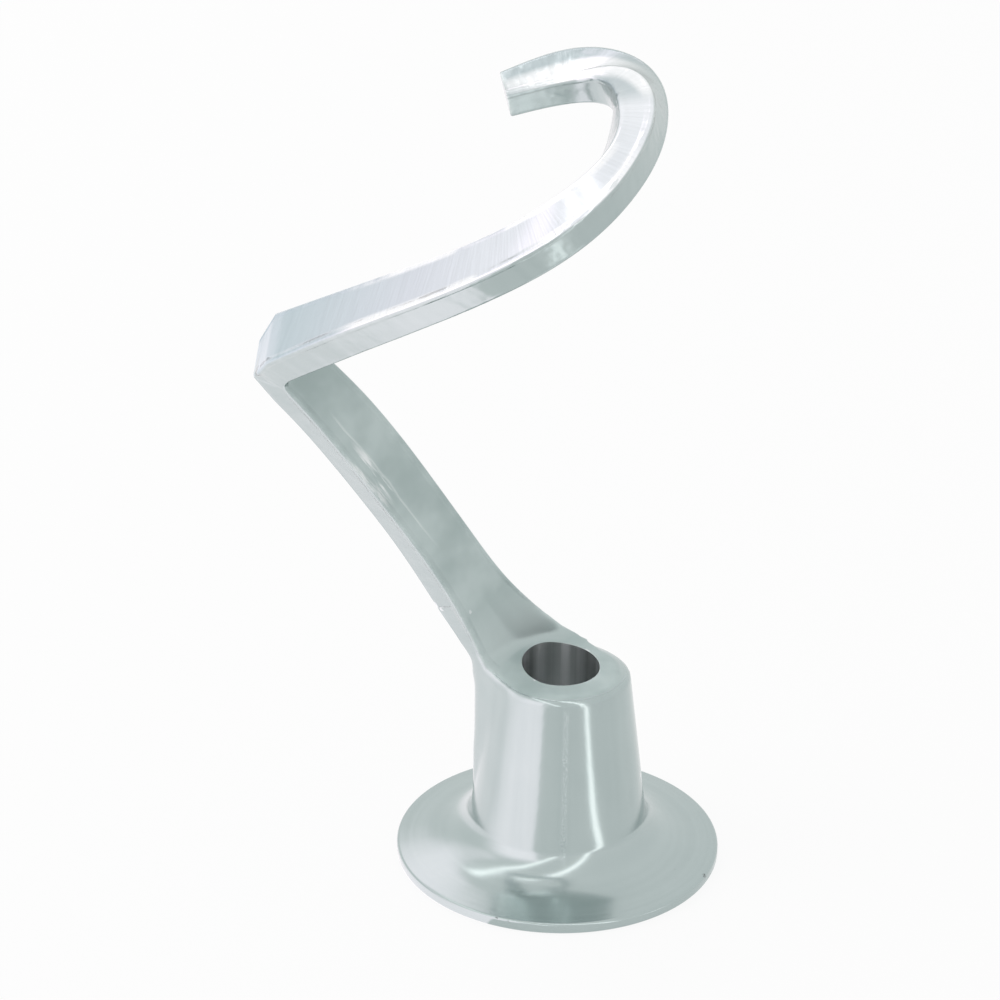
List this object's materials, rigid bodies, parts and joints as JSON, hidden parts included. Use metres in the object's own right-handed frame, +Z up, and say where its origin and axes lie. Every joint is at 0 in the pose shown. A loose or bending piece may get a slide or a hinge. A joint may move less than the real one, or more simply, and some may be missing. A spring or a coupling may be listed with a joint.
{
  "type": "stand mixer dough hook",
  "caption": "Spiral dough hook for a bench planetary mixer: splash disc with a drafted hub and shaft bore, and one cast arm that leans out, folds at an elbow and curls round over the hub.",
  "frame": {"origin": "on the axis of the drive bore, in the flat face of the splash disc that the part stands on", "axes": "+Z up along the bore, from the disc to the hub's top; +X to the right of the picture, the elbow is at -X; -Y towards the camera"},
  "size_m": [0.1179, 0.1063, 0.2165],
  "materials": {
    "cast_metal": "burnished cast surface, ground by hand along the edges and the top face of the arm"
  },
  "bodies": {
    "root": {"dough_hook": "cast_metal"}
  },
  "joints": []
}
